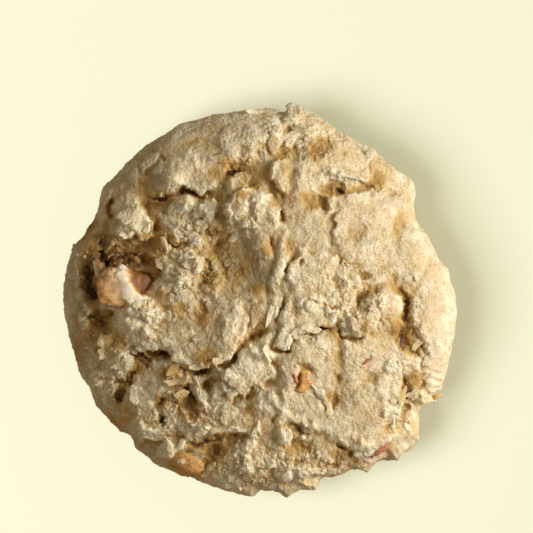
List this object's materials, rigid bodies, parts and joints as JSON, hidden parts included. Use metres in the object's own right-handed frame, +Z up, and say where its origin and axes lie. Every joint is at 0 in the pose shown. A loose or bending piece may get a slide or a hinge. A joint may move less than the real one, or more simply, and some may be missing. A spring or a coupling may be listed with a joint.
{
  "type": "oatmeal apple cookie",
  "caption": "Thick round drop cookie of oat dough with a cracked, crumbly top, diced fruit showing at its surface and a flat baked base.",
  "frame": {"origin": "on the flat baked base, under the middle of the cookie's box", "axes": "+Z up through the thickness, out of the cracked top; +X to the right of the picture and +Y to its top"},
  "size_m": [0.08, 0.0798, 0.0219],
  "materials": {
    "dough": null,
    "fruit": null,
    "fruit_skin": null
  },
  "bodies": {
    "root": {"dough": "dough", "fruit_left": "fruit", "fruit_lower_left": "fruit", "fruit_centre": "fruit", "fruit_skin": "fruit_skin"}
  },
  "joints": []
}
